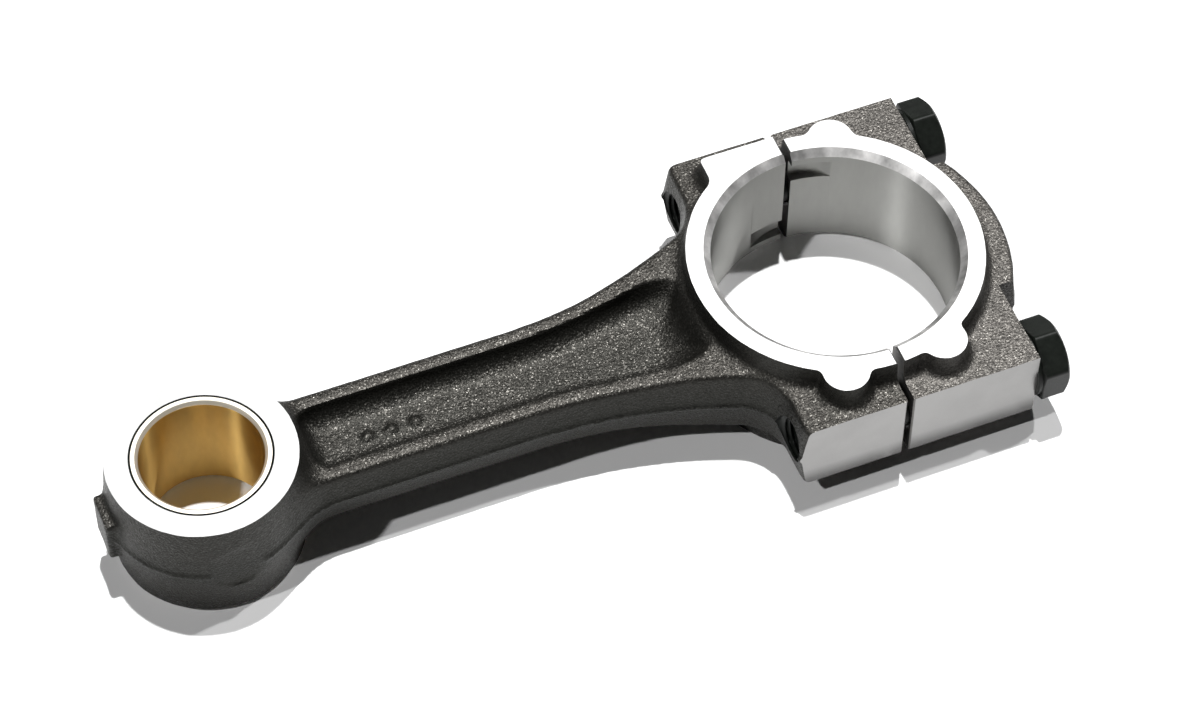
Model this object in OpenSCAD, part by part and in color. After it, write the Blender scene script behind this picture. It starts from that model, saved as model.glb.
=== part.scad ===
// Connecting rod for a small single-cylinder engine, lying flat.
// A forged I-beam rod with a pressed-in bronze bush in the small end, and a
// separate bearing cap held to the big end by two hexagon bolts.
// Origin: centre of the big-end bore at mid-thickness.
// +X runs along the rod from the small end towards the cap and the bolt heads,
// +Z runs along the crank pin. The bolts are finger-tight: the cap stands off
// by joint_gap and slides home along -X as they are turned in.

/* [Rod] */
// Distance between the small-end and big-end bore centres
centre_distance = 120; // [112:1:135]
// Width of the big end between its machined thrust faces
big_end_width = 25; // [24:0.5:27]
// Width of the small end between its machined side faces
small_end_width = 23; // [22:0.5:25]

/* [Shank] */
// Width across the two flanges where the shank is parallel
shank_width = 19.8; // [18:0.2:21]
// Height of the flanges along the parallel part of the shank
flange_height = 11.8; // [11:0.2:14]
// Height of the bolt shoulders, to which the flanges rise at the big end
shoulder_height = 15.5; // [15:0.5:17]
// Thickness of each flange, measured across the shank
flange_thickness = 3; // [2.5:0.25:4]
// Thickness of the web between the two recesses
web_thickness = 4; // [3:0.5:6]
// Where the shank starts to flare, measured back from the big-end centre
flare_start = 62; // [58:1:66]
// Radius of the long flare of the flanks
flare_radius = 100; // [90:1:110]
// Radius of the corner between the flare and the bolt shoulder
shoulder_fillet = 9.5; // [8:0.5:11]

/* [Small end] */
// Boss diameter at the machined side faces
boss_face_d = 34; // [32:0.5:36]
// Boss diameter at the forging's parting line
boss_parting_d = 36; // [34:0.5:38]
// Outer diameter of the pressed-in bush
bush_outer_d = 25; // [24:0.5:26]
// Bore of the bush, for the piston pin
bush_bore_d = 22; // [20:0.5:23]
// Chamfer at each end of the bush bore
bush_chamfer = 0.6; // [0.2:0.1:1]
// Width of the forged lug at the end of the boss
lug_width = 8; // [6:1:12]
// Height of the forged lug
lug_height = 9.5; // [8:0.5:12]
// How far the lug stands out beyond the parting line
lug_proud = 1.4; // [0.8:0.2:2]

/* [Big end] */
// Bore of the bearing-shell housing
housing_d = 45; // [42:0.5:46]
// Chamfer at each end of the housing bore
housing_chamfer = 1.3; // [0.5:0.1:1.8]
// Outer diameter of the raised thrust ring
ring_d = 54; // [52:0.2:55]
// Width across the two bolt shoulders
shoulder_span = 64.6; // [63:0.2:67]
// Length of the rod's shoulders behind the joint face
rod_shoulder_length = 20; // [19:0.5:22]
// Length of the cap from the joint face to the bolt seats
cap_length = 24.6; // [24:0.2:26]
// Outer radius of the cap's crown at its upper and lower edges
cap_crown_r = 32.1; // [31:0.1:33]
// The same at the parting plane, where the drafted side is widest
cap_crown_parting_r = 32.9; // [32:0.1:34]
// Radius of the four round lobes on the thrust ring
lobe_r = 4.2; // [3.5:0.1:4.6]
// Width of the notch for a bearing shell's tang
tang_width = 4.2; // [3:0.1:5]
// Depth of the tang notch at the joint face
tang_depth = 1.5; // [0.8:0.1:1.8]

/* [Bolts] */
// Distance between the two bolt axes
bolt_spacing = 54.4; // [54:0.2:55]
// Diameter of the bolt shank
bolt_d = 8; // [7:0.5:8]
// Length of each bolt under its head
bolt_length = 40; // [36:1:42]
// Hexagon size across the flats
hex_flats = 13; // [12:0.5:13]
// Height of the hexagon
hex_height = 5.4; // [5:0.2:7]
// Thickness of the round washer face under the hexagon
washer_height = 0.8; // [0.4:0.1:1.2]
// Gap between the joint faces with the bolts finger-tight
joint_gap = 1.2; // [0:0.1:2]

/* [Hidden] */
$fn = 96;

// A cut runs past the face that it opens by this much
over = 1;

half_width = big_end_width / 2;
half_flange = flange_height / 2;
half_shoulder = shoulder_height / 2;
half_span = shoulder_span / 2;
half_shank = shank_width / 2;
bolt_y = bolt_spacing / 2;

// Clearance hole in the cap and at the mouth of each tapped hole
clearance_d = bolt_d + 0.4;
// The M8 x 1 thread is a plain cylinder on the bolt and a plain hole in the rod
thread_outer_d = bolt_d - 0.1;
tapped_d = bolt_d + 0.1;
// The shank is plain under the head, for this length
plain_length = 27;
// Depth of the clearance counterbore at the mouth of each tapped hole
mouth_depth = 4.5;
tip_chamfer = 0.8;

// The recesses stop this far outside the boss and outside the thrust ring
recess_margin = 0.6;
corner_r = 1.6;
rod_lobe_x = 9.1;
cap_lobe_x = 9.7;
near_lobe_y = 25.2;
far_lobe_y = 24.2;
// The flat marking pad on the rod's far shoulder, on the upper side only
mark_pad_x = 14.5;
mark_pad_y = 28.2;
// The crown is milled back to the bolt seats beyond this distance from the middle
seat_step_y = 14.8;
seat_x = joint_gap + cap_length;
// The far bolt's head still stands this far off its seat
far_bolt_standoff = 0.7;
// The tang notches are cut by a disc of this radius
tang_cutter_r = 10;
tang_edge = 9.8;

washer_d = hex_flats - 0.4;
hex_corner_d = hex_flats / cos(30);
// Turn of each head about its bolt's axis, as left by the fingers
near_head_turn = 4.8;
far_head_turn = 8.8;

// Points on a circular arc from angle a0 to a1, in n steps
function arc(c, r, a0, a1, n) =
    [for (i = [0:n]) let (a = a0 + (a1 - a0) * i / n) c + r * [cos(a), sin(a)]];

function mirrored(points) = [for (i = [len(points) - 1:-1:0]) [points[i][0], -points[i][1]]];

// The flare's arc is tangent to the parallel shank, and its inner offset by
// inset millimetres runs along the recess
flare_centre = [-flare_start, half_shank + flare_radius];

// The shoulder fillet touches the flare's arc from inside and the line x = -rod_shoulder_length
fillet_reach = flare_radius - shoulder_fillet;
fillet_x = -rod_shoulder_length - shoulder_fillet;
fillet_dx = fillet_x - flare_centre[0];
fillet_centre = [fillet_x, flare_centre[1] - sqrt(fillet_reach * fillet_reach - fillet_dx * fillet_dx)];
// Angle, seen from the flare's centre, of the point where the two arcs meet
meet_angle = atan2(fillet_centre[1] - flare_centre[1], fillet_dx);

// Upper half of the rod's outline, from the small end to the joint
function rod_flank() = concat(
    [[-centre_distance, half_shank]],
    arc(flare_centre, flare_radius, -90, meet_angle, 12),
    arc(fillet_centre, shoulder_fillet, meet_angle + 6, 0, 8),
    arc([-rod_shoulder_length + corner_r, half_span - corner_r], corner_r, 180, 90, 4),
    [[0, half_span]]
);

// The flanges rise from the shank's height to the shoulders' over this stretch
rise_start = -50;
rise_end = -23;
function rise(i, n) = let (t = i / n) [
    rise_start + (rise_end - rise_start) * t,
    half_flange + (half_shoulder - half_flange) * (1 - cos(180 * t)) / 2
];

// Upper half of the rod forging in side view, without its boss and its thrust ring
function side_profile() = concat(
    [[-centre_distance, half_flange]],
    [for (i = [0:8]) rise(i, 8)],
    [[0, half_shoulder]]
);

// Upper half of the recess, before its ends are cut round
recess_r = flare_radius + flange_thickness;
recess_end_x = -0.4 * ring_d;
function recess_flank() = concat(
    [[-centre_distance, half_shank - flange_thickness]],
    arc(flare_centre, recess_r, -90, -acos((recess_end_x + flare_start) / recess_r), 12)
);

module along_x(x, y) {
    translate([x, y, 0]) rotate([0, 90, 0]) children();
}

// A slab of the given height, centred on the parting plane
module slab(height) {
    linear_extrude(height = height, center = true) children();
}

module bore_cutter(d, chamfer, length) {
    cylinder(h = length + 2 * over, d = d, center = true);
    for (side = [0, 1]) {
        mirror([0, 0, side]) translate([0, 0, length / 2 - chamfer])
            cylinder(h = chamfer + over, r1 = d / 2, r2 = d / 2 + chamfer + over);
    }
}

// One of the two recesses that leave the web; side is 1 above and -1 below
module recess(side) {
    depth = half_shoulder - web_thickness / 2;
    z0 = side > 0 ? web_thickness / 2 : -web_thickness / 2 - depth - over;
    translate([0, 0, z0]) linear_extrude(height = depth + over) difference() {
        polygon(concat(recess_flank(), mirrored(recess_flank())));
        translate([-centre_distance, 0]) circle(d = boss_parting_d + 2 * recess_margin);
        circle(d = ring_d + 2 * recess_margin);
    }
}

module small_end_boss() {
    for (side = [0, 1]) {
        translate([-centre_distance, 0, 0]) mirror([0, 0, side])
            cylinder(h = small_end_width / 2, d1 = boss_parting_d, d2 = boss_face_d);
    }
    lug_length = lug_proud + boss_parting_d / 4;
    translate([-centre_distance - boss_parting_d / 2 - lug_proud, -lug_width / 2, -lug_height / 2])
        cube([lug_length, lug_width, lug_height]);
}

// Disc sector of the big end on one side of the joint: dir is -1 for the rod, 1 for the cap
module half_disc(r, height, dir) {
    intersection() {
        cylinder(h = height, r = r, center = true);
        translate([dir * r, 0, 0]) cube([2 * r, 4 * r, 2 * height], center = true);
    }
}

module lobes(dir, sides) {
    for (side = sides) {
        translate([dir < 0 ? -rod_lobe_x : cap_lobe_x, side > 0 ? far_lobe_y : -near_lobe_y, 0])
            cylinder(h = big_end_width, r = lobe_r, center = true);
    }
}

// Notch for a bearing shell's tang, on the far side of the bore; dir says which half,
// and the notch lies above mid-thickness in the cap and below it in the rod
module tang_notch(dir) {
    z0 = dir > 0 ? tang_edge - tang_width : -tang_edge;
    intersection() {
        translate([0, housing_d / 2 + tang_depth - tang_cutter_r, z0])
            cylinder(h = tang_width, r = tang_cutter_r);
        translate([dir > 0 ? -over : -tang_cutter_r, 0, z0 - over])
            cube([tang_cutter_r + over, housing_d, tang_width + 2 * over]);
    }
}

module shank_and_shoulders() {
    intersection() {
        slab(shoulder_height) polygon(concat(rod_flank(), mirrored(rod_flank())));
        rotate([90, 0, 0]) linear_extrude(height = 2 * shoulder_span, center = true)
            polygon(concat(side_profile(), mirrored(side_profile())));
    }
}

module connecting_rod() {
    color("#5f5b57") difference() {
        union() {
            shank_and_shoulders();
            small_end_boss();
            half_disc(ring_d / 2, big_end_width, -1);
            lobes(-1, [-1]);
            // Lower side only: the upper far lobe is part of the marking pad
            intersection() {
                lobes(-1, [1]);
                translate([-housing_d, 0, -big_end_width]) cube([housing_d, housing_d, big_end_width]);
            }
            translate([-mark_pad_x, half_shoulder, 0])
                cube([mark_pad_x, mark_pad_y - half_shoulder, half_width]);
        }
        recess(1);
        recess(-1);
        bore_cutter(housing_d, housing_chamfer, big_end_width);
        translate([-centre_distance, 0, 0])
            cylinder(h = small_end_width + 2 * over, d = bush_outer_d, center = true);
        for (side = [-1, 1]) {
            along_x(-rod_shoulder_length - over, side * bolt_y)
                cylinder(h = rod_shoulder_length + 2 * over, d = tapped_d);
            along_x(-mouth_depth, side * bolt_y)
                cylinder(h = mouth_depth + over, d = clearance_d);
        }
        tang_notch(-1);
    }
}

module small_end_bush() {
    color("#b07a3c") translate([-centre_distance, 0, 0]) difference() {
        cylinder(h = small_end_width, d = bush_outer_d, center = true);
        bore_cutter(bush_bore_d, bush_chamfer, small_end_width);
    }
}

// The cap's forging before it is cut off at its joint face
module cap_blank() {
    translate([0, -half_span, -half_shoulder]) cube([seat_x, shoulder_span, shoulder_height]);
    for (side = [0, 1]) {
        mirror([0, 0, side])
            cylinder(h = half_shoulder, r1 = cap_crown_parting_r, r2 = cap_crown_r);
    }
    cylinder(h = big_end_width, d = ring_d, center = true);
    lobes(1, [-1, 1]);
}

module bearing_cap() {
    color("#6c6864") difference() {
        intersection() {
            cap_blank();
            translate([joint_gap, -half_span, -big_end_width])
                cube([2 * cap_crown_r, shoulder_span, 2 * big_end_width]);
        }
        bore_cutter(housing_d, housing_chamfer, big_end_width);
        for (side = [-1, 1]) {
            along_x(0, side * bolt_y) cylinder(h = seat_x + over, d = clearance_d);
            translate([seat_x, side > 0 ? seat_step_y : -seat_step_y - half_span, -half_width])
                cube([half_span, half_span, big_end_width]);
        }
        translate([joint_gap, 0, 0]) tang_notch(1);
    }
}

// Hexagon bolt with its seat at x = 0 and its head towards +X
module hex_bolt(turn) {
    color("#2b2b2d") rotate([turn, 0, 0]) {
        along_x(-plain_length, 0) cylinder(h = plain_length + washer_height, d = bolt_d);
        along_x(-bolt_length + tip_chamfer, 0)
            cylinder(h = bolt_length - plain_length, d = thread_outer_d);
        along_x(-bolt_length, 0)
            cylinder(h = tip_chamfer, d1 = thread_outer_d - 2 * tip_chamfer, d2 = thread_outer_d);
        along_x(0, 0) cylinder(h = washer_height, d = washer_d);
        intersection() {
            along_x(washer_height, 0) cylinder(h = hex_height, d = hex_corner_d, $fn = 6);
            along_x(washer_height, 0) rotate_extrude() polygon([
                [0, 0],
                [hex_corner_d, 0],
                [hex_corner_d, hex_height - (hex_corner_d - washer_d / 2) * tan(30)],
                [washer_d / 2, hex_height],
                [0, hex_height]
            ]);
        }
    }
}

module cap_bolt_near() {
    translate([seat_x, -bolt_y, 0]) hex_bolt(near_head_turn);
}

module cap_bolt_far() {
    translate([seat_x + far_bolt_standoff, bolt_y, 0]) hex_bolt(far_head_turn);
}

connecting_rod();
small_end_bush();
bearing_cap();
cap_bolt_near();
cap_bolt_far();
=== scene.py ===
"""Visual model of the connecting rod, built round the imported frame.

The two forgings are smooth signed-distance shapes meshed on a grid, and then machined by
boolean cuts, so every ground or bored face meets the raw skin at a crisp edge, as on the
real part. The bush and the bolts are turned profiles. Lengths in the builders are in
millimetres and become metres when a mesh is made.
"""
import math

import bpy
import numpy as np
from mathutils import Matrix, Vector


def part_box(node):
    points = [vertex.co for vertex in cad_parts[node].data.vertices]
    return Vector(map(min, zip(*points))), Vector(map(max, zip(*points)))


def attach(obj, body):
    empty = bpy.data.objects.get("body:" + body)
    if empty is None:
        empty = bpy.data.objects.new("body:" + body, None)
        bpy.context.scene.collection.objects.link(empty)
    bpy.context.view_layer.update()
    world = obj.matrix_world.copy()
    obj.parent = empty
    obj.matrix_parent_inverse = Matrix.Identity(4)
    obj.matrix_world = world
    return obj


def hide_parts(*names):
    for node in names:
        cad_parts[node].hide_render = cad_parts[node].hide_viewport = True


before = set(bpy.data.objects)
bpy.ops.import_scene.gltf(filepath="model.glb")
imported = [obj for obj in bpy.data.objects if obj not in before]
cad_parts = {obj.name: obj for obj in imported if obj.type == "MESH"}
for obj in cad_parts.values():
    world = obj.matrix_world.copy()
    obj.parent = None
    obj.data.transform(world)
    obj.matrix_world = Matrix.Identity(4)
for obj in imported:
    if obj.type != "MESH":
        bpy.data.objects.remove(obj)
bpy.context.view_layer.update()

MM = 0.001

# ---------------------------------------------------------------- dimensions, from the frame


def node_box(node):
    """Lowest and highest corner of a CAD node, in millimetres."""
    low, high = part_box(node)
    return np.array(low) / MM, np.array(high) / MM


ROD_LOW, ROD_HIGH = node_box("connecting_rod")
CAP_LOW, CAP_HIGH = node_box("bearing_cap")
BUSH_LOW, BUSH_HIGH = node_box("small_end_bush")
BOLT_LOW, BOLT_HIGH = node_box("cap_bolt_near")
FAR_STANDOFF = node_box("cap_bolt_far")[1][0] - BOLT_HIGH[0]

SMALL_X = (BUSH_LOW[0] + BUSH_HIGH[0]) / 2
BUSH_R = (BUSH_HIGH[0] - BUSH_LOW[0]) / 2
SMALL_HALF = BUSH_HIGH[2]
BIG_HALF = ROD_HIGH[2]
HALF_SPAN = ROD_HIGH[1]
GAP = CAP_LOW[0]
BORE_R = 22.5
BORE_CHAMFER = 1.3
PIN_R = 11.0
PIN_CHAMFER = 0.6
SEAT_X = 25.8
BOLT_Y = 27.2
BOLT_R = 4.0
HOLE_R = BOLT_R + 0.2
PITCH = 1.0
THREAD_DEPTH = 0.58
PLAIN_SHANK = 27.0
BOLT_TIP = BOLT_LOW[0]
HEX_FLATS = 13.0
WASHER_H = 0.8
# The discs that cut the tang notches
TANG_R = 10.0
TANG_Y = BORE_R + 1.5 - TANG_R
TANG_Z = (5.6, 9.8)
# Stock left on the faces that are machined later
STOCK = 0.8
# Width of the broken edge round each joint face
BREAK = 0.25
# The cap's joint face stops just short, so that the closed faces don't overlap
CAP_JOINT = GAP + 0.03

# ---------------------------------------------------------------- distance functions


def round_min(a, b, r):
    """Union of two distance fields with a concave fillet of radius r."""
    u = np.maximum(r - a, 0)
    v = np.maximum(r - b, 0)
    return np.maximum(r, np.minimum(a, b)) - np.hypot(u, v)


def round_max(a, b, r):
    """Intersection of two distance fields with a convex edge of radius r."""
    u = np.maximum(r + a, 0)
    v = np.maximum(r + b, 0)
    return np.minimum(-r, np.maximum(a, b)) + np.hypot(u, v)


def box_distance(x, y, z, low, high, r):
    """Box with rounded edges."""
    low, high = np.array(low, float), np.array(high, float)
    mid, half = (low + high) / 2, (high - low) / 2 - r
    qx, qy, qz = abs(x - mid[0]) - half[0], abs(y - mid[1]) - half[1], abs(z - mid[2]) - half[2]
    outside = np.sqrt(np.maximum(qx, 0) ** 2 + np.maximum(qy, 0) ** 2 + np.maximum(qz, 0) ** 2)
    return outside + np.minimum(np.maximum(np.maximum(qx, qy), qz), 0) - r


def polygon_distance(points):
    """Signed distance in the plane to a closed polygon, as a function of x and y."""
    a = np.array(points, float)
    b = np.roll(a, -1, axis=0)
    e = b - a
    length2 = (e ** 2).sum(1)

    def distance(x, y):
        x, y = np.broadcast_arrays(x, y)
        shape = x.shape
        px, py = x.reshape(-1, 1), y.reshape(-1, 1)
        best = np.empty(px.shape[0])
        for start in range(0, px.shape[0], 40000):
            s = slice(start, start + 40000)
            wx, wy = px[s] - a[:, 0], py[s] - a[:, 1]
            t = np.clip((wx * e[:, 0] + wy * e[:, 1]) / length2, 0, 1)
            d2 = (wx - e[:, 0] * t) ** 2 + (wy - e[:, 1] * t) ** 2
            crosses = ((a[:, 1] <= py[s]) != (b[:, 1] <= py[s])) & (
                (e[:, 0] * wy - e[:, 1] * wx) * np.where(e[:, 1] > 0, 1, -1) > 0)
            inside = crosses.sum(1) % 2 == 1
            best[s] = np.sqrt(d2.min(1)) * np.where(inside, -1, 1)
        return best.reshape(shape)

    return distance


def arc(centre, r, a0, a1, n):
    angles = np.radians(np.linspace(a0, a1, n + 1))
    return [(centre[0] + r * math.cos(a), centre[1] + r * math.sin(a)) for a in angles]


def both_sides(flank):
    """A closed outline from its upper flank."""
    return flank + [(x, -y) for x, y in reversed(flank)]


# ---------------------------------------------------------------- the rod's forging

# Half width of the shank over its flanges, at their upper edge
SHANK_HALF = 9.45
# The long arc of the flanks, from the parallel shank to the shoulder's end face
FLARE_START = -62.0
FLARE_R = 100.0
SHOULDER_X = -19.3
SHOULDER_FILLET = 9.5
RAW_SPAN = HALF_SPAN + 1.2
# Half heights: the flanges along the shank, the shoulders, and the web between the recesses
FLANGE_H = 5.9
SHOULDER_H = 7.75
WEB_H = 1.8
FLANGE_T = 2.8
RISE_START, RISE_END = -50.0, -23.0
# The sides bulge towards the parting line
BULGE = 1.15
# The flank's field is steeper than a true distance by its bulge, and is scaled back
BULGE_SCALE = 0.985
BOSS_FACE_R, BOSS_PARTING_R = 17.0, 18.0
RECESS_START = -101.2
RECESS_END = -26.5
RECESS_CORNER = 3.0
# The recess stops at this distance from the middle plane, and its wall leans by this slope
RECESS_HALF = 11.6
RECESS_DRAFT = 0.24
# Slope and corner radius of the wall that rises to the thrust ring
FOOT_SLOPE = 0.75
FOOT_CORNER = 8.5
RING_R = 27.0
RING_DRAFT = 0.11
LOBE_R = 4.2
# The marking pad on the far shoulder, on the upper side only
PAD_LOW, PAD_HIGH = (-14.8, 0.0, -1.0), (12.0, 28.2, 1.0)
PIP_X = (-90.0, -85.5, -81.0)
PIP_R = 1.35
# Centres of the thrust ring's lobes
ROD_NEAR_LOBE, ROD_FAR_LOBE = (-9.1, -25.3), (-9.1, 24.2)
CAP_NEAR_LOBE, CAP_FAR_LOBE = (9.8, -25.2), (9.6, 24.2)


def rod_outline():
    flare = (FLARE_START, SHANK_HALF + FLARE_R)
    fx = SHOULDER_X - SHOULDER_FILLET
    reach = FLARE_R - SHOULDER_FILLET
    fy = flare[1] - math.sqrt(reach ** 2 - (fx - flare[0]) ** 2)
    meet = math.degrees(math.atan2(fy - flare[1], fx - flare[0]))
    corner = 2.6
    return both_sides(
        [(-128.0, SHANK_HALF)]
        + arc(flare, FLARE_R, -90, meet, 18)
        + arc((fx, fy), SHOULDER_FILLET, meet + 5, 0, 12)
        + arc((SHOULDER_X + corner, RAW_SPAN - corner), corner, 180, 90, 6)
        + [(6.0, RAW_SPAN)])


def recess_outline():
    """The recess, drawn inside by its corner radius and grown back by it."""
    half = SHANK_HALF - FLANGE_T - RECESS_CORNER
    radius = FLARE_R + FLANGE_T + RECESS_CORNER
    flare = (FLARE_START, half + radius)
    a1 = -90 + math.degrees(math.asin((RECESS_END - flare[0]) / radius))
    return both_sides([(RECESS_START + RECESS_CORNER, half)] + arc(flare, radius, -90, a1, 18))


rod_plan = polygon_distance(rod_outline())
recess_plan = polygon_distance(recess_outline())


def flange_height(x):
    t = np.clip((x - RISE_START) / (RISE_END - RISE_START), 0, 1)
    return FLANGE_H + (SHOULDER_H - FLANGE_H) * (1 - np.cos(math.pi * t)) / 2


def flash(z):
    """The line left where the flash was trimmed off at the parting plane."""
    return 0.32 * np.exp(-(z / 0.5) ** 2)


def thrust_ring(x, y, z, lobes, pad=None):
    """The raised ring with its round lobes, and perhaps a pad above, before it is faced."""
    az = abs(z)
    plan = np.hypot(x, y) - RING_R
    for lx, ly in lobes:
        plan = round_min(plan, np.hypot(x - lx, y - ly) - LOBE_R, 1.1)
    if pad is not None:
        raised = np.where(z > 0, 0.0, 40.0)
        plan = round_min(plan, box_distance(x, y, 0 * x, *pad, 0.8) + raised, 1.1)
    return round_max(plan - RING_DRAFT * (BIG_HALF - az), az - BIG_HALF - STOCK, 0.3)


def rod_field(x, y, z):
    az = abs(z)
    height = flange_height(x)
    plan = rod_plan(x, y)
    side = (plan - BULGE * (1 - np.minimum(az / height, 1)) - flash(z)) * BULGE_SCALE
    body = round_max(side, az - height, 0.9)

    # Small end: a tapered boss with the die's trimming lug
    from_pin = np.hypot(x - SMALL_X, y)
    taper = (BOSS_PARTING_R - BOSS_FACE_R) * (1 - az / SMALL_HALF)
    boss = np.maximum(from_pin - BOSS_FACE_R - taper - flash(z), az - SMALL_HALF - STOCK)
    lug = box_distance(x, y, z, (ROD_LOW[0], -4.1, -5.1), (SMALL_X - 12, 3.6, 4.5), 0.7)
    boss = round_min(boss, lug, 0.9)
    # A round facet on the near side, where the parting line was dressed
    facet = round_max(np.hypot(x - SMALL_X - 0.1, z - 0.8) - 5.1, y + 17.25, 0.3)
    boss = round_max(boss, -facet, 0.3)
    body = round_min(body, boss, 4.5)

    # Big end
    ring = thrust_ring(x, y, z, [ROD_NEAR_LOBE], pad=(PAD_LOW, PAD_HIGH))
    lower_lobe = np.hypot(x - ROD_FAR_LOBE[0], y - ROD_FAR_LOBE[1]) - LOBE_R
    lower_lobe = np.maximum(lower_lobe - RING_DRAFT * (BIG_HALF - az), abs(z + 8) - 5.3)
    body = round_min(body, round_min(ring, lower_lobe, 0.9), 1.7)

    # The recesses leave the web
    wall = recess_plan(x, y) - RECESS_CORNER
    wall = round_max(wall, abs(y) - RECESS_HALF, 4.5) - RECESS_DRAFT * (az - height)
    foot = RING_R + RING_DRAFT * (BIG_HALF - np.maximum(az, height)) - 0.2
    foot = foot + FOOT_SLOPE * np.maximum(height - az, 0)
    wall = round_max(wall, (foot - np.hypot(x, y)) * 0.85, FOOT_CORNER)
    pocket = round_max(wall, WEB_H - az, 3.0)
    body = round_max(body, -pocket, 0.5)

    # Three plain pips in the upper recess, in place of a forging mark
    for px in PIP_X:
        pip = np.sqrt((x - px) ** 2 + (y + 0.6) ** 2 + (z - WEB_H + 0.55) ** 2) - PIP_R
        body = round_min(body, pip, 0.5)
    return np.maximum(body, x - 4)


# ---------------------------------------------------------------- the cap's forging

CROWN_R = 32.35
CROWN_DRAFT = 0.8
# The crown is milled back to the bolt seats beyond this distance from the middle
STEP_Y = 14.8
# The crown may run this far past the CAD's box
CROWN_OVER = 0.4


def cap_outline():
    corner = 1.8
    raw_seat = SEAT_X + STOCK
    return both_sides(
        [(-6.0, RAW_SPAN)]
        + arc((raw_seat - corner, RAW_SPAN - corner), corner, 90, 0, 6)
        + [(raw_seat, 17.5)])


cap_plan = polygon_distance(cap_outline())


def cap_field(x, y, z):
    az = abs(z)
    drafted = CROWN_DRAFT * (1 - np.minimum(az / SHOULDER_H, 1))
    plan = round_min(cap_plan(x, y), np.hypot(x, y) - CROWN_R - drafted, 0.8)
    body = round_max((plan - 0.5 * flash(z)) * BULGE_SCALE, az - SHOULDER_H, 0.7)
    ring = thrust_ring(x, y, z, [CAP_NEAR_LOBE, CAP_FAR_LOBE])
    return np.maximum(round_min(body, ring, 1.7), -4 - x)


# ---------------------------------------------------------------- meshing

rng = np.random.default_rng(11)
LATTICE = rng.uniform(-1, 1, (64, 64, 64))


def grain(points, size):
    """Smooth noise from -1 to 1 with features about size millimetres across."""
    p = points / size + 500.0
    i = np.floor(p).astype(int)
    f = p - i
    f = f * f * (3 - 2 * f)
    value = 0
    for corner in np.ndindex(2, 2, 2):
        weight = np.prod(np.where(np.array(corner) == 1, f, 1 - f), axis=1)
        j = (i + corner) % 64
        value = value + weight * LATTICE[j[:, 0], j[:, 1], j[:, 2]]
    return value


def surface_nets(values):
    """Vertices, in grid steps, and quads of the surface where values change sign."""
    inside = values < 0
    cells = np.array(values.shape) - 1
    total = np.zeros((3, cells.prod()))
    count = np.zeros(cells.prod())
    quads = []
    for axis in range(3):
        low = tuple(slice(0, -1) if k == axis else slice(None) for k in range(3))
        high = tuple(slice(1, None) if k == axis else slice(None) for k in range(3))
        a, b = values[low], values[high]
        crossing = inside[low] != inside[high]
        index = np.argwhere(crossing)
        point = index.astype(float)
        point[:, axis] += a[crossing] / (a[crossing] - b[crossing])
        u, v = (axis + 1) % 3, (axis + 2) % 3
        around = []
        for du, dv in ((-1, -1), (0, -1), (0, 0), (-1, 0)):
            cell = index.copy()
            cell[:, u] += du
            cell[:, v] += dv
            flat = np.ravel_multi_index(cell.T, cells)
            around.append(flat)
            count += np.bincount(flat, minlength=count.size)
            for k in range(3):
                total[k] += np.bincount(flat, weights=point[:, k], minlength=count.size)
        quad = np.stack(around, axis=1)
        outward = inside[low][crossing]
        quad[~outward] = quad[~outward][:, ::-1]
        quads.append(quad)
    used = np.flatnonzero(count)
    number = np.full(count.size, -1)
    number[used] = np.arange(used.size)
    return (total[:, used] / count[used]).T, number[np.concatenate(quads)]


def gradient(field, p):
    e = 0.02
    d = field(p[:, 0], p[:, 1], p[:, 2])
    g = np.stack([
        field(p[:, 0] + e, p[:, 1], p[:, 2]) - d,
        field(p[:, 0], p[:, 1] + e, p[:, 2]) - d,
        field(p[:, 0], p[:, 1], p[:, 2] + e) - d], axis=1) / e
    length = np.maximum(np.linalg.norm(g, axis=1), 0.3)
    return g / length[:, None], d / length


def forge(field, low, high, step, roughness):
    """Vertices in millimetres and quads of the surface where field is zero."""
    axes = [np.arange(a, b + step, step) for a, b in zip(low, high)]
    x, y, z = axes[0][:, None, None], axes[1][None, :, None], axes[2][None, None, :]
    values = np.concatenate([
        np.broadcast_to(field(x[i:i + 40], y, z), (len(x[i:i + 40]), y.shape[1], z.shape[2]))
        for i in range(0, len(axes[0]), 40)])
    verts, quads = surface_nets(values)
    verts = np.array([a[0] for a in axes]) + verts * step
    for _ in range(3):
        normal, distance = gradient(field, verts)
        verts = verts - normal * np.clip(distance, -0.4 * step, 0.4 * step)[:, None]
    skin = 0.6 * grain(verts, 0.9) + 0.9 * grain(verts, 4.0)
    verts = verts + normal * (roughness * skin)[:, None]
    return verts, quads


def mesh_object(name, verts, faces):
    """A new object from vertices in millimetres."""
    mesh = bpy.data.meshes.new(name)
    mesh.from_pydata((np.asarray(verts, float) * MM).tolist(), [], [tuple(f) for f in faces])
    mesh.update()
    obj = bpy.data.objects.new(name, mesh)
    bpy.context.scene.collection.objects.link(obj)
    return obj


def tube(rings):
    """Closed surface through rings of points, with a centre point at each end."""
    n = len(rings[0])
    verts = [tuple(p) for ring in rings for p in ring]
    first = tuple(np.mean(rings[0], axis=0))
    last = tuple(np.mean(rings[-1], axis=0))
    faces = []
    for k in range(len(rings) - 1):
        for i in range(n):
            j = (i + 1) % n
            faces.append((k * n + i, k * n + j, (k + 1) * n + j, (k + 1) * n + i))
    base, end = len(verts), len(verts) + 1
    verts += [first, last]
    top = (len(rings) - 1) * n
    for i in range(n):
        j = (i + 1) % n
        faces.append((base, j, i))
        faces.append((end, top + i, top + j))
    return verts, faces


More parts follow.
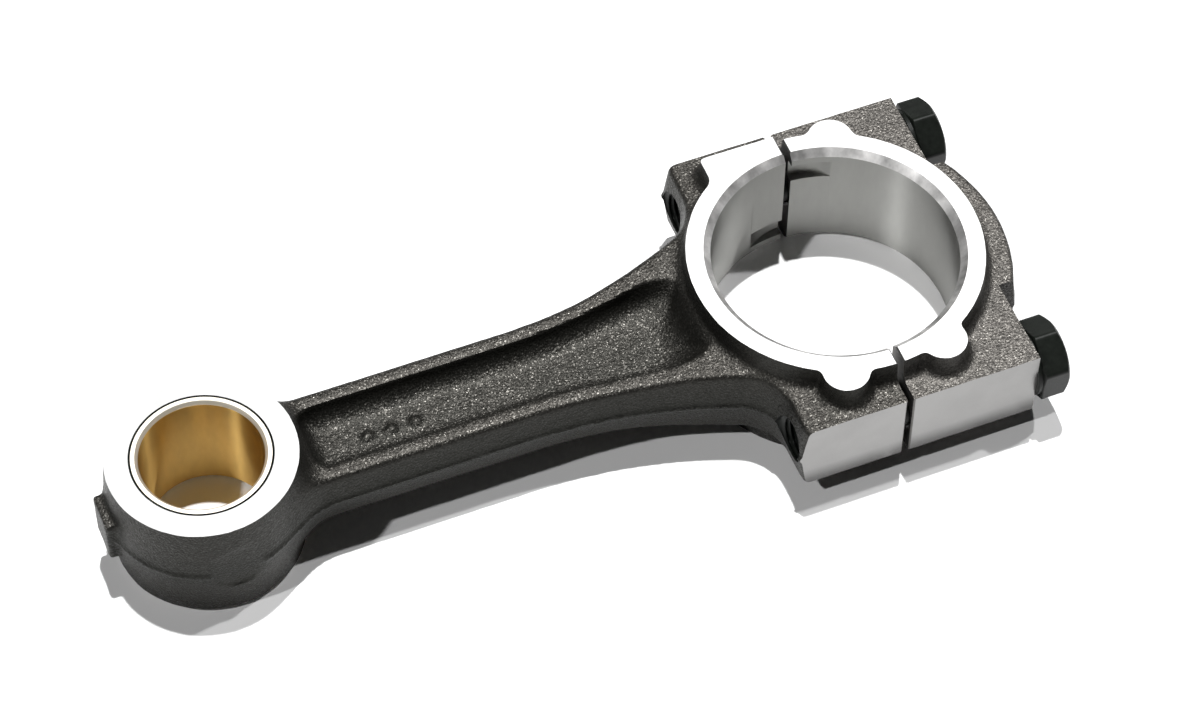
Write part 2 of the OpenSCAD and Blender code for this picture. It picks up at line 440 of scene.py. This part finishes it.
def turned_z(profile, centre, n=192):
    """Solid of revolution about Z; profile holds (radius, z) from one end to the other."""
    angles = np.arange(n) * 2 * math.pi / n
    rings = [
        np.stack([centre[0] + r * np.cos(angles), centre[1] + r * np.sin(angles),
                  np.full(n, z)], axis=1)
        for r, z in profile]
    return tube(rings)


def joined(parts):
    verts, faces = [], []
    for v, f in parts:
        base = len(verts)
        verts += list(v)
        faces += [tuple(i + base for i in face) for face in f]
    return verts, faces


def block(low, high):
    x0, y0, z0 = low
    x1, y1, z1 = high
    verts = [(x, y, z) for x in (x0, x1) for y in (y0, y1) for z in (z0, z1)]
    faces = [(0, 1, 3, 2), (4, 6, 7, 5), (0, 4, 5, 1), (2, 3, 7, 6), (0, 2, 6, 4), (1, 5, 7, 3)]
    return verts, faces


def prism(outline, y0, y1):
    """Outline in X and Z, swept along Y."""
    n = len(outline)
    verts = [(x, y, z) for y in (y0, y1) for x, z in outline]
    faces = [tuple(range(n)), tuple(range(2 * n - 1, n - 1, -1))]
    faces += [(i, i + n, (i + 1) % n + n, (i + 1) % n) for i in range(n)]
    return verts, faces


def joint_prism(side, joint_x, far_x):
    """Block between the ground sides, with its edges at the joint face broken."""
    x1 = joint_x + side * BREAK
    outline = [(far_x, -HALF_SPAN), (x1, -HALF_SPAN), (joint_x, -HALF_SPAN + BREAK),
               (joint_x, HALF_SPAN - BREAK), (x1, HALF_SPAN), (far_x, HALF_SPAN)]
    if side > 0:
        outline.reverse()
    n = len(outline)
    verts = [(x, y, z) for z in (-20, 20) for x, y in outline]
    faces = [tuple(range(n - 1, -1, -1)), tuple(range(n, 2 * n))]
    faces += [(i, (i + 1) % n, (i + 1) % n + n, i + n) for i in range(n)]
    return verts, faces


def machine(obj, operation, verts, faces):
    """Applies one boolean cut with a closed tool."""
    tool = mesh_object("tool", verts, faces)
    mod = obj.modifiers.new("cut", "BOOLEAN")
    mod.operation = operation
    mod.object = tool
    mod.solver = "MANIFOLD"
    graph = bpy.context.evaluated_depsgraph_get()
    mesh = bpy.data.meshes.new_from_object(obj.evaluated_get(graph))
    obj.modifiers.clear()
    old, tool_mesh = obj.data, tool.data
    obj.data = mesh
    bpy.data.meshes.remove(old)
    bpy.data.objects.remove(tool)
    bpy.data.meshes.remove(tool_mesh)
    mesh.name = obj.name


def bore_profile(r, chamfer, half, over=1.5):
    return [(r + chamfer + over, -half - over), (r, -half + chamfer),
            (r, half - chamfer), (r + chamfer + over, half + over)]


# ---------------------------------------------------------------- threads and bolts


def thread_depth(x, angle):
    """Groove depth from 0 at the crest to 1 at the root of a right-hand thread along +X."""
    phase = (x / PITCH - angle / (2 * math.pi)) % 1.0
    ramp = 1 - abs(2 * phase - 1)
    return np.clip((ramp - 0.1) / 0.75, 0, 1)


def turned_x(rings, centre_y, angles):
    """Rings (x, radii) about an axis along X at y = centre_y."""
    out = []
    for x, radii in rings:
        radii = np.broadcast_to(radii, angles.shape)
        out.append(np.stack([
            np.broadcast_to(x, angles.shape),
            centre_y + radii * np.cos(angles),
            radii * np.sin(angles)], axis=1))
    return tube(out)


def tapped_hole(y, over=3.0):
    """Tool for a threaded hole through a shoulder, with its countersinks."""
    angles = np.arange(64) * 2 * math.pi / 64
    back, mouth = -20.0, -4.5
    rings = [(back - over, BOLT_R + 0.45), (back - 0.5, BOLT_R + 0.45)]
    for x in np.arange(back, mouth, PITCH / 10):
        depth = thread_depth(x, angles)
        fade = np.clip((x - back) / 0.8, 0, 1)
        rings.append((x, BOLT_R + 0.06 + 0.3 * (1 - fade) - THREAD_DEPTH * depth * fade))
    rings += [(mouth, BOLT_R + 0.2), (over, BOLT_R + 0.2)]
    return turned_x(rings, y, angles)


def hexagon(angles, flats):
    """Distance from the axis to a hexagon's side, with corners at multiples of 60 degrees."""
    a = (angles % (math.pi / 3)) - math.pi / 6
    return flats / 2 / np.cos(a)


def bolt(name, y, turn, standoff):
    n = 144
    local = np.arange(n) * 2 * math.pi / n
    angles = local + math.radians(turn)
    tip = BOLT_TIP
    root = BOLT_R - 0.05
    plain = SEAT_X - PLAIN_SHANK
    rings = [(tip, root - 0.95), (tip + 0.15, root - 0.8)]
    for x in np.arange(tip + 0.2, plain, PITCH / 12):
        lead = np.clip((x - tip) / 0.9, 0, 1)
        fade = np.clip((plain - x) / 0.9, 0, 1)
        crest = root - 0.75 * (1 - lead)
        radius = root - THREAD_DEPTH * thread_depth(x, angles) * fade
        rings.append((x, np.minimum(crest, radius)))
    washer = HEX_FLATS / 2 - 0.2
    rings += [
        (plain + 0.1, root), (plain + 0.3, BOLT_R),
        (SEAT_X - 0.5, BOLT_R), (SEAT_X - 0.15, BOLT_R + 0.12), (SEAT_X, BOLT_R + 0.15),
        (SEAT_X, washer - 0.15), (SEAT_X + 0.1, washer), (SEAT_X + WASHER_H, washer)]
    hexa = hexagon(local, HEX_FLATS)
    # The hexagon's corners are broken a little
    hexa = np.minimum(hexa, HEX_FLATS / 2 / math.cos(math.pi / 6) - 0.12)
    top = BOLT_HIGH[0]
    under = np.maximum(0, (hexa - washer) * math.tan(math.radians(12)))
    over = (hexa - (washer - 0.25)) * math.tan(math.radians(30))
    rings += [
        (SEAT_X + WASHER_H + under * 0.3, (hexa + washer) / 2),
        (SEAT_X + WASHER_H + under + 0.05, hexa - 0.05),
        (SEAT_X + WASHER_H + under + 0.12, hexa),
        (top - over - 0.12, hexa),
        (top - over - 0.03, hexa - 0.06),
        (top - over * 0.5, (hexa + washer - 0.25) / 2),
        (top - 0.04, washer - 0.22), (top, washer - 0.4), (top, 2.0)]
    rings = [(x + standoff, radii) for x, radii in rings]
    return mesh_object(name, *turned_x(rings, y, angles))


# ---------------------------------------------------------------- materials


def rgba(colour):
    return (*colour, 1.0)


class Graph:
    """A material's node tree with short ways to add and link nodes."""

    def __init__(self, name, base, metallic, roughness, **sockets):
        self.material = bpy.data.materials.new(name)
        self.material.use_nodes = True
        self.tree = self.material.node_tree
        self.shader = self.tree.nodes["Principled BSDF"]
        self.shader.inputs["Base Color"].default_value = rgba(base)
        self.shader.inputs["Metallic"].default_value = metallic
        self.shader.inputs["Roughness"].default_value = roughness
        for key, value in sockets.items():
            self.shader.inputs[key.replace("_", " ")].default_value = value
        self.place = self.node("ShaderNodeTexCoord").outputs["Object"]

    def node(self, kind, **inputs):
        node = self.tree.nodes.new(kind)
        for key, value in inputs.items():
            socket = node.inputs[key.replace("_", " ")]
            if isinstance(value, bpy.types.NodeSocket):
                self.tree.links.new(value, socket)
            else:
                socket.default_value = value
        return node

    def stretched(self, scale):
        return self.node("ShaderNodeMapping", Vector=self.place, Scale=scale).outputs["Vector"]

    def noise(self, size_mm, detail=3.0, rough=0.55, place=None):
        return self.node(
            "ShaderNodeTexNoise", Vector=place or self.place, Scale=1 / (size_mm * MM),
            Detail=detail, Roughness=rough).outputs["Fac"]

    def cells(self, size_mm):
        return self.node("ShaderNodeTexVoronoi", Vector=self.place, Scale=1 / (size_mm * MM))

    def height(self, vector):
        return self.node("ShaderNodeSeparateXYZ", Vector=vector).outputs["Z"]

    def ramp(self, factor, low, high):
        """Blends from one colour to another; low and high are (position, colour)."""
        node = self.node("ShaderNodeValToRGB", Fac=factor)
        for element, (position, colour) in zip(node.color_ramp.elements, (low, high)):
            element.position = position
            element.color = rgba(colour)
        return node.outputs["Color"]

    def mix(self, factor, a, b):
        node = self.tree.nodes.new("ShaderNodeMix")
        node.data_type = "RGBA"
        for index, value in ((0, factor), (6, a), (7, b)):
            socket = node.inputs[index]
            if isinstance(value, bpy.types.NodeSocket):
                self.tree.links.new(value, socket)
            elif index == 0:
                socket.default_value = value
            else:
                socket.default_value = rgba(value)
        return node.outputs[2]

    def math(self, operation, a, b=0.0, c=0.0):
        node = self.tree.nodes.new("ShaderNodeMath")
        node.operation = operation
        for socket, value in zip(node.inputs, (a, b, c)):
            if isinstance(value, bpy.types.NodeSocket):
                self.tree.links.new(value, socket)
            else:
                socket.default_value = value
        return node.outputs[0]

    def bump(self, height, strength, depth_mm):
        return self.node("ShaderNodeBump", Height=height, Strength=strength,
                         Distance=depth_mm * MM).outputs["Normal"]

    def vector(self, operation, a, b):
        node = self.tree.nodes.new("ShaderNodeVectorMath")
        node.operation = operation
        for socket, value in zip(node.inputs, (a, b)):
            if isinstance(value, bpy.types.NodeSocket):
                self.tree.links.new(value, socket)
            else:
                socket.default_value = value
        return node.outputs[0]

    def to(self, socket, value):
        self.tree.links.new(value, self.shader.inputs[socket])


def forged_steel(name, dark, light, tint):
    """Shot-blasted forging skin: dimples, fine glinting facets and faint stains, with painted
    glints on the tops and painted shade on the sides and recess floors.
    """
    g = Graph(name, light, 0.8, 0.45)
    dimple = g.cells(0.45)
    facet = g.cells(0.21)
    fine = g.noise(0.4, 4.0, 0.6)
    broad = g.noise(7.0, 3.0, 0.6)
    split = g.node("ShaderNodeSeparateColor", Color=facet.outputs["Color"])
    # Painted light and shade: faces that point up or down keep the lighter colour and carry
    # painted glints, sides are painted darker, and the floors of the recesses are painted with
    # shade
    facing = g.height(g.node("ShaderNodeNewGeometry").outputs["Normal"])
    top = g.math("POWER", g.math("ABSOLUTE", facing), 3.0)
    painted_glint = g.math("MULTIPLY", g.math("POWER", split.outputs["Blue"], 12.0), top)
    from_web = g.math("ABSOLUTE", g.height(g.place))
    recess_shade = g.math("MAXIMUM", g.math("MULTIPLY_ADD", from_web, -125.0, 0.72), 0.0)
    base = g.ramp(fine, (0.3, dark), (0.72, light))
    base = g.mix(g.math("MULTIPLY", broad, 0.45), base, tint)
    # Painted shade: faces that point sideways are darkened towards the dark colour
    base = g.mix(g.math("MULTIPLY_ADD", top, -0.6, 0.6), base, dark)
    # Painted shade on the floors of the recesses
    base = g.mix(recess_shade, base, dark)
    # Painted glints: a few facets on the faces that point up or down get a brighter base colour
    base = g.mix(painted_glint, base, (0.24, 0.23, 0.21))
    g.to("Base Color", base)
    g.to("Roughness", g.math("MULTIPLY_ADD", split.outputs["Red"], 0.2, 0.36))
    height = g.math("ADD", g.math("MULTIPLY", dimple.outputs["Distance"], 0.7), fine)
    normal = g.bump(height, 0.7, 0.15)
    lean = g.vector("SUBTRACT", facet.outputs["Color"], (0.5, 0.5, 0.5))
    lean = g.vector("MULTIPLY", lean, (0.26, 0.26, 0.26))
    g.to("Normal", g.vector("NORMALIZE", g.vector("ADD", normal, lean), (0, 0, 0)))
    return g.material


def ground_steel(name, colour, roughness, lay, scratch=0.5, low=0.0, metallic=0.7):
    """Ground or faced steel; lay stretches its fine scratches, low paints the shaded floor's dark
    reflection near its lower edge.
    """
    g = Graph(name, colour, metallic, roughness)
    lines = g.noise(0.3, 5.0, 0.65, g.stretched(lay))
    stain = g.noise(9.0, 4.0, 0.6)
    base = g.ramp(stain, (0.25, tuple(c * 0.9 for c in colour)), (0.6, colour))
    # Painted reflection: towards the lower edge the colour darkens as if mirroring the shaded
    # floor
    below = g.math("MULTIPLY_ADD", g.height(g.place), -350.0, -1.3)
    painted_floor_reflection = g.math("MULTIPLY", g.math("MAXIMUM", g.math("MINIMUM", below, 1.0), 0.0), low)
    g.to("Base Color", g.mix(painted_floor_reflection, base, tuple(c * 0.4 for c in colour)))
    g.to("Roughness", g.math("MULTIPLY_ADD", lines, 0.16, roughness - 0.08))
    g.to("Normal", g.bump(lines, scratch, 0.02))
    return g.material


def bored_metal(name, colour, roughness, feed_mm, tone=0.85, drawn=1.0):
    """Fine-bored wall: tool lines run round the bore, so highlights draw out along it."""
    g = Graph(name, colour, 0.95, roughness)
    rows = g.stretched((0.02, 0.02, 1.0))
    lines = g.noise(feed_mm, 2.0, 0.5, rows)
    cloud = g.noise(6.0, 4.0, 0.6, g.stretched((1.0, 1.0, 0.35)))
    dark = tuple(c * tone for c in colour)
    g.to("Base Color", g.ramp(cloud, (0.3, dark), (0.65, colour)))
    g.to("Roughness", g.math("MULTIPLY_ADD", cloud, 0.14, roughness - 0.06))
    g.to("Normal", g.bump(lines, 0.3, 0.02))
    around = g.node("ShaderNodeTangent")
    around.direction_type, around.axis = "RADIAL", "Z"
    g.to("Tangent", around.outputs[0])
    g.shader.inputs["Anisotropic"].default_value = drawn
    g.shader.inputs["Anisotropic Rotation"].default_value = 0.25
    return g.material


def black_oxide(name):
    """Blackened steel with faint lighter spots."""
    g = Graph(name, (0.005, 0.006, 0.005), 0.0, 0.4, Specular_IOR_Level=0.16)
    spots = g.noise(1.6, 4.0, 0.6)
    fine = g.noise(0.25, 3.0, 0.6)
    g.to("Base Color", g.ramp(spots, (0.3, (0.004, 0.005, 0.004)), (0.75, (0.010, 0.012, 0.010))))
    g.to("Roughness", g.math("MULTIPLY_ADD", fine, 0.2, 0.3))
    g.to("Normal", g.bump(fine, 0.35, 0.03))
    return g.material


FORGED_ROD = forged_steel(
    "forged_rod", (0.015, 0.0155, 0.013), (0.066, 0.062, 0.056), (0.038, 0.033, 0.029))
FORGED_CAP = forged_steel(
    "forged_cap", (0.028, 0.027, 0.025), (0.135, 0.128, 0.118), (0.085, 0.076, 0.069))
FACED = ground_steel("faced_steel", (0.86, 0.86, 0.85), 0.36, (1.0, 6.0, 1.0))
# Its lower part carries a painted dark reflection of the shaded floor
SIDE = ground_steel(
    "ground_side", (0.265, 0.262, 0.258), 0.3, (6.0, 1.0, 1.0), low=0.6, metallic=1.0)
BORED = bored_metal("bored_steel", (0.36, 0.36, 0.345), 0.34, 0.28)
CHAMFER = bored_metal("chamfered_steel", (0.9, 0.89, 0.88), 0.55, 0.4, 0.3, drawn=0.0)
# Painted shade: the joint faces are darkened so the split between rod and cap reads dark
JOINT = ground_steel("joint_steel", (0.16, 0.155, 0.15), 0.5, (1.0, 4.0, 1.0), metallic=1.0)
THREAD = black_oxide("thread_steel")
BRONZE = bored_metal("bronze_bore", (0.6, 0.4, 0.13), 0.34, 0.22, 0.72)
SMALL_FACE = ground_steel("faced_small_end", (0.47, 0.47, 0.468), 0.4, (1.0, 6.0, 1.0), 0.9)
BRONZE_FACE = ground_steel("bronze_face", (0.9, 0.84, 0.72), 0.36, (1.0, 5.0, 1.0))
BOLT = black_oxide("black_bolt")


def forging_set(skin):
    """Materials in the order that forging_faces numbers them."""
    return [skin, FACED, SIDE, BORED, CHAMFER, THREAD, JOINT, SMALL_FACE]


def paint(obj, materials, choose):
    """Gives each face the material that choose returns for its centre and normal (mm)."""
    mesh = obj.data
    mesh.materials.clear()
    for material in materials:
        mesh.materials.append(material)
    n = len(mesh.polygons)
    centre = np.empty(n * 3)
    normal = np.empty(n * 3)
    mesh.polygons.foreach_get("center", centre)
    mesh.polygons.foreach_get("normal", normal)
    index = choose(centre.reshape(-1, 3) / MM, normal.reshape(-1, 3))
    mesh.polygons.foreach_set("material_index", np.asarray(index, dtype=np.int32))
    mesh.polygons.foreach_set("use_smooth", np.ones(n, dtype=bool))
    mesh.set_sharp_from_angle(angle=math.radians(32))
    mesh.update()


def forging_faces(joint_x):
    """Chooser for a forging cut off at joint_x, for the materials of forging_set."""
    skin, faced, ground, bored, chamfered, thread, joint, small = range(8)

    def choose(c, n):
        index = np.full(len(c), skin)
        flat_z = (abs(abs(c[:, 2]) - BIG_HALF) < 0.01) | (
            (abs(abs(c[:, 2]) - SMALL_HALF) < 0.01) & (c[:, 0] < SMALL_X + 25))
        index[flat_z & (abs(n[:, 2]) > 0.99)] = faced
        index[(abs(c[:, 0] - joint_x) < 0.3) & (abs(n[:, 0]) > 0.6)] = joint
        index[(abs(abs(c[:, 1]) - HALF_SPAN) < 0.01) & (abs(n[:, 1]) > 0.99)] = ground
        r = np.hypot(c[:, 0], c[:, 1])
        inward = c[:, 0] * n[:, 0] + c[:, 1] * n[:, 1] < -0.3
        index[(r < BORE_R + 0.02) & inward] = bored
        index[(r > BORE_R - 0.02) & (r < BORE_R + BORE_CHAMFER + 0.1) & inward
              & (abs(n[:, 2]) > 0.5)] = chamfered
        r = np.hypot(c[:, 0] - SMALL_X, c[:, 1])
        index[(r < BUSH_R + 0.4) & (index != faced)] = thread
        index[(r < BOSS_PARTING_R) & (index == faced)] = small
        r = np.hypot(abs(c[:, 1]) - BOLT_Y, c[:, 2])
        index[(r < BOLT_R + 0.6) & (c[:, 0] > -24) & (abs(n[:, 0]) < 0.95)] = thread
        notch = (index == skin) & (np.hypot(c[:, 0], c[:, 1]) < 25.2) & (abs(c[:, 2]) < 11)
        index[notch] = bored
        return index

    return choose


# ---------------------------------------------------------------- pieces

STEP = 0.5

rod = mesh_object("rod_forging", *forge(
    rod_field, (-141.5, -35.5, -15.0), (7.5, 35.5, 15.0), STEP, 0.05))
envelope = [
    (-150, -SMALL_HALF), (-90, -SMALL_HALF), (-90, -BIG_HALF), (-BREAK, -BIG_HALF),
    (0, -BIG_HALF + BREAK), (0, BIG_HALF - BREAK), (-BREAK, BIG_HALF), (-90, BIG_HALF),
    (-90, SMALL_HALF), (-150, SMALL_HALF)]
machine(rod, "INTERSECT", *prism(envelope, -HALF_SPAN, HALF_SPAN))
machine(rod, "INTERSECT", *joint_prism(-1, 0.0, -150.0))
machine(rod, "DIFFERENCE", *joined([
    turned_z(bore_profile(BORE_R, BORE_CHAMFER, BIG_HALF), (0, 0), 256),
    turned_z(bore_profile(BUSH_R + 0.01, 0.22, SMALL_HALF), (SMALL_X, 0), 192),
    tapped_hole(-BOLT_Y),
    tapped_hole(BOLT_Y)]))
machine(rod, "DIFFERENCE", *turned_z([(TANG_R, -z) for z in reversed(TANG_Z)], (0, TANG_Y), 96))
paint(rod, forging_set(FORGED_ROD), forging_faces(0.0))
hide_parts("connecting_rod")
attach(rod, "rod")

cap = mesh_object("cap_forging", *forge(
    cap_field, (-7.5, -35.5, -15.0), (36.0, 35.5, 15.0), STEP, 0.05))
machine(cap, "INTERSECT", *prism([
    (CAP_JOINT + BREAK, BIG_HALF), (CAP_JOINT, BIG_HALF - BREAK),
    (CAP_JOINT, -BIG_HALF + BREAK), (CAP_JOINT + BREAK, -BIG_HALF),
    (CAP_HIGH[0] + CROWN_OVER, -BIG_HALF), (CAP_HIGH[0] + CROWN_OVER, BIG_HALF)],
    -40, 40))
machine(cap, "INTERSECT", *joint_prism(1, CAP_JOINT, 60.0))
hole_angles = np.arange(64) * 2 * math.pi / 64
cap_tools = [turned_z(bore_profile(BORE_R, BORE_CHAMFER, BIG_HALF), (0, 0), 256)]
for sign in (-1, 1):
    cap_tools.append(turned_x(
        [(GAP - 3, HOLE_R + 0.7), (GAP, HOLE_R + 0.4), (GAP + 0.4, HOLE_R),
         (SEAT_X - 0.4, HOLE_R), (SEAT_X, HOLE_R + 0.4), (SEAT_X + 0.5, HOLE_R + 0.4)],
        sign * BOLT_Y, hole_angles))
machine(cap, "DIFFERENCE", *joined(cap_tools))
for sign in (-1, 1):
    y0, y1 = sorted((sign * STEP_Y, sign * 40))
    machine(cap, "DIFFERENCE", *block((SEAT_X, y0, -20), (SEAT_X + 14, y1, 20)))
machine(cap, "DIFFERENCE", *turned_z([(TANG_R, z) for z in TANG_Z], (GAP, TANG_Y), 96))
paint(cap, forging_set(FORGED_CAP), forging_faces(GAP))
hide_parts("bearing_cap")
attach(cap, "cap")

ring_angles = np.arange(192) * 2 * math.pi / 192
half = SMALL_HALF
bush_profile = [
    (PIN_R + PIN_CHAMFER, -half), (BUSH_R - 0.18, -half), (BUSH_R, -half + 0.5),
    (BUSH_R, half - 0.5), (BUSH_R - 0.18, half), (PIN_R + PIN_CHAMFER, half),
    (PIN_R + 0.05, half - PIN_CHAMFER), (PIN_R, half - PIN_CHAMFER - 0.15),
    (PIN_R, -half + PIN_CHAMFER + 0.15), (PIN_R + 0.05, -half + PIN_CHAMFER)]
bush_rings = [
    np.stack([SMALL_X + r * np.cos(ring_angles), r * np.sin(ring_angles),
              np.full(192, z)], axis=1) for r, z in bush_profile]
rows, cols = len(bush_rings), 192
bush = mesh_object("bush_shell", np.concatenate(bush_rings), [
    (k * cols + i, k * cols + (i + 1) % cols,
     (k + 1) % rows * cols + (i + 1) % cols, (k + 1) % rows * cols + i)
    for k in range(rows) for i in range(cols)])
paint(bush, [BRONZE, BRONZE_FACE, THREAD],
      lambda c, n: np.digitize(np.hypot(c[:, 0] - SMALL_X, c[:, 1]), [PIN_R + 0.3, BUSH_R - 0.15]))
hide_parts("small_end_bush")
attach(bush, "rod")

for name, node, body, sign, turn, standoff in (
        ("bolt_near", "cap_bolt_near", "near_bolt", -1, 4.8, 0.0),
        ("bolt_far", "cap_bolt_far", "far_bolt", 1, 8.8, FAR_STANDOFF)):
    # The angle runs from +Y to +Z about the bolt's axis
    piece = bolt(name, sign * BOLT_Y, 90.0 + turn, standoff)
    paint(piece, [BOLT], lambda c, n: np.zeros(len(c), dtype=int))
    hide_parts(node)
    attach(piece, body)

# ---------------------------------------------------------------- floor, lights and camera

FLOOR_Z = -BIG_HALF
floor = mesh_object("floor", [(-2500, -2500, FLOOR_Z), (2500, -2500, FLOOR_Z),
                              (2500, 2500, FLOOR_Z), (-2500, 2500, FLOOR_Z)], [(0, 1, 2, 3)])
floor_look = Graph("floor", (0.86,) * 3, 0.0, 0.35, Specular_IOR_Level=0.25)
floor_tone = floor_look.noise(60.0, 2.0)
floor_look.to("Base Color", floor_look.ramp(floor_tone, (0.2, (0.85,) * 3), (0.8, (0.87,) * 3)))
floor.data.materials.append(floor_look.material)

world = bpy.data.worlds.new("studio")
world.use_nodes = True
world.node_tree.nodes["Background"].inputs["Color"].default_value = (1, 1, 1, 1)
world.node_tree.nodes["Background"].inputs["Strength"].default_value = 0.03
bpy.context.scene.world = world


def lamp(name, towards, energy, spread):
    """A distant light; towards is how far it lies along x and y per unit of height."""
    data = bpy.data.lights.new(name, "SUN")
    data.energy = energy
    data.angle = math.radians(spread)
    obj = bpy.data.objects.new(name, data)
    bpy.context.scene.collection.objects.link(obj)
    obj.rotation_euler = Vector((*towards, 1.0)).to_track_quat("Z", "Y").to_euler()


lamp("overhead", (0.09, 0.188), 3.9, 1.4)
lamp("side_left", (-0.78, -0.10), 1.3, 2.0)
lamp("side_right", (0.67, 0.12), 1.2, 2.0)

camera = bpy.data.cameras.new("camera")
camera.sensor_width = 36.0
camera.lens = 118.35
camera.clip_start = 0.02
camera.clip_end = 20.0
view = bpy.data.objects.new("camera", camera)
bpy.context.scene.collection.objects.link(view)
view.location = (-0.20361, -0.38470, 0.57420)
view.rotation_euler = tuple(math.radians(a) for a in (36.002, -0.385, -21.805))
bpy.context.scene.camera = view
bpy.context.scene.view_settings.view_transform = "Standard"
